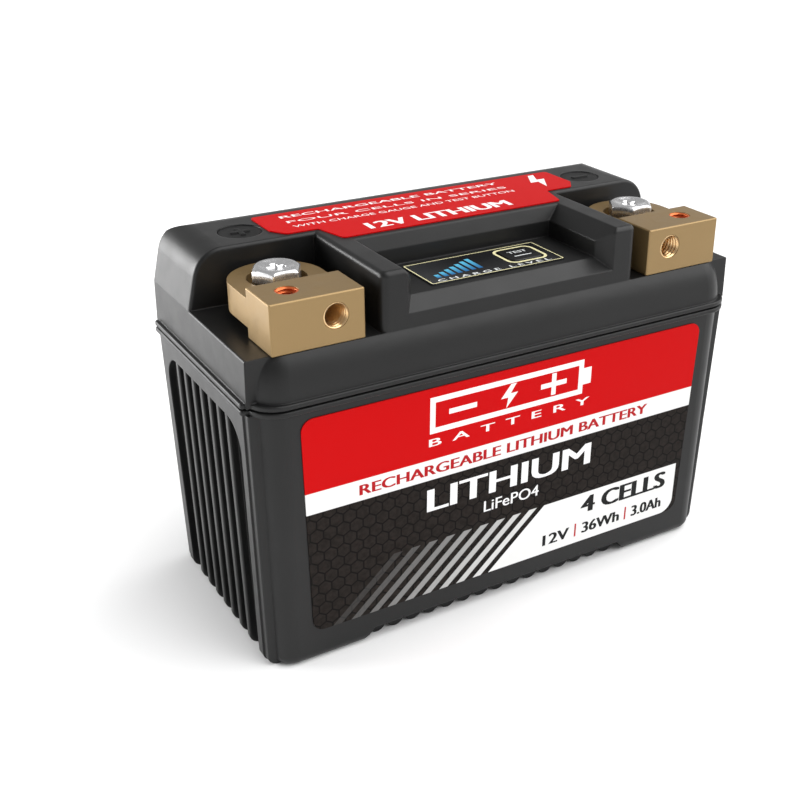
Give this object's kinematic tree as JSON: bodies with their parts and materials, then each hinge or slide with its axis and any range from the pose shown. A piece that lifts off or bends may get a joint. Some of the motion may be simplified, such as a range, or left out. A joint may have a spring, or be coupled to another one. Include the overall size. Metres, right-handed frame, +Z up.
{
  "type": "motorcycle battery",
  "caption": "Sealed lithium motorcycle battery: ribbed black tub, stepped lid with two brass terminal blocks, a recessed charge gauge and a test button.",
  "frame": {"origin": "middle of the footprint, on the surface that the battery stands on", "axes": "+X along the length to the negative terminal, +Y to the back, +Z up; the label and the terminals' front faces look along -Y"},
  "size_m": [0.134, 0.065, 0.0922],
  "materials": {
    "case_plastic": "satin moulded plastic, fine grain",
    "lid_plastic": "satin moulded plastic, fine grain",
    "seal_rubber": "matt black sealing bead",
    "front_print": "printed and laminated label, semi-gloss",
    "top_print": "printed and laminated label, semi-gloss",
    "mark_plastic": "satin inlay with a raised sign",
    "overlay_print": "glossy printed membrane",
    "button_plastic": "glossy printed key",
    "block_brass": "machined and plated brass, satin",
    "post_brass": "turned brass",
    "bolt_steel": "zinc-plated steel",
    "washer_steel": "yellow-passivated steel",
    "lug_copper": "tinned copper",
    "seal_ring": "black sealing rubber",
    "lead_red": "silicone insulation, satin",
    "lead_black": "silicone insulation, satin",
    "board_resin": "green solder mask",
    "chip_resin": "black moulded resin",
    "resistor_ceramic": "ceramic chips with tinned ends",
    "capacitor_can": "aluminium can with a sleeve",
    "led_resin": "clear resin over a phosphor",
    "guide_clear": "clear acrylic with slits",
    "switch_body": "black nylon",
    "switch_red": "nylon plunger",
    "screw_steel": "zinc-plated steel",
    "wire_grey": "thin vinyl insulation",
    "cell_foil": "laminated aluminium pouch",
    "tab_aluminium": "bare aluminium strip",
    "tab_nickel": "nickel-plated strip",
    "link_nickel": "nickel strip",
    "pad_foam": "closed-cell foam",
    "tape_glass": "glass-fibre tape",
    "tray_plastic": "natural moulded plastic"
  },
  "bodies": {
    "housing": {"case": "case_plastic", "lid": "lid_plastic", "seam_seal": "seal_rubber", "front_label": "front_print", "top_label": "top_print", "positive_mark": "mark_plastic", "negative_mark": "mark_plastic", "gauge_overlay": "overlay_print", "gauge_board": "board_resin", "gauge_leds": "led_resin", "light_guide": "guide_clear", "test_switch": "switch_body", "gauge_screws": "screw_steel", "gauge_cable": "wire_grey", "post_seals": "seal_ring", "post_nuts": "screw_steel", "cell_pads": "pad_foam", "cell_tabs_positive": "tab_aluminium", "cell_tabs_negative": "tab_nickel", "cell_wrap": "tape_glass", "cell_tray": "tray_plastic", "base_pad": "pad_foam", "management_board": "board_resin", "bus_links": "link_nickel", "board_transistors": "chip_resin", "board_resistors": "resistor_ceramic", "board_controller": "chip_resin", "board_capacitors": "capacitor_can", "terminal_block_positive": "block_brass", "terminal_bolt_positive": "bolt_steel", "split_washer_positive": "washer_steel", "flat_washer_positive": "washer_steel", "terminal_post_positive": "post_brass", "ring_lug_positive": "lug_copper", "lead_positive": "lead_red", "terminal_block_negative": "block_brass", "terminal_bolt_negative": "bolt_steel", "split_washer_negative": "washer_steel", "flat_washer_negative": "washer_steel", "terminal_post_negative": "post_brass", "ring_lug_negative": "lug_copper", "lead_negative": "lead_black", "cell_1": "cell_foil", "cell_2": "cell_foil", "cell_3": "cell_foil", "cell_4": "cell_foil"},
    "button": {"test_button": "button_plastic", "switch_plunger": "switch_red"}
  },
  "joints": [
    {"name": "button_press", "type": "slide", "parent": "housing", "child": "button", "axis": [0, 0, -1], "range_m": [0, 0.00035], "stiffness_N_per_m": 600}
  ]
}
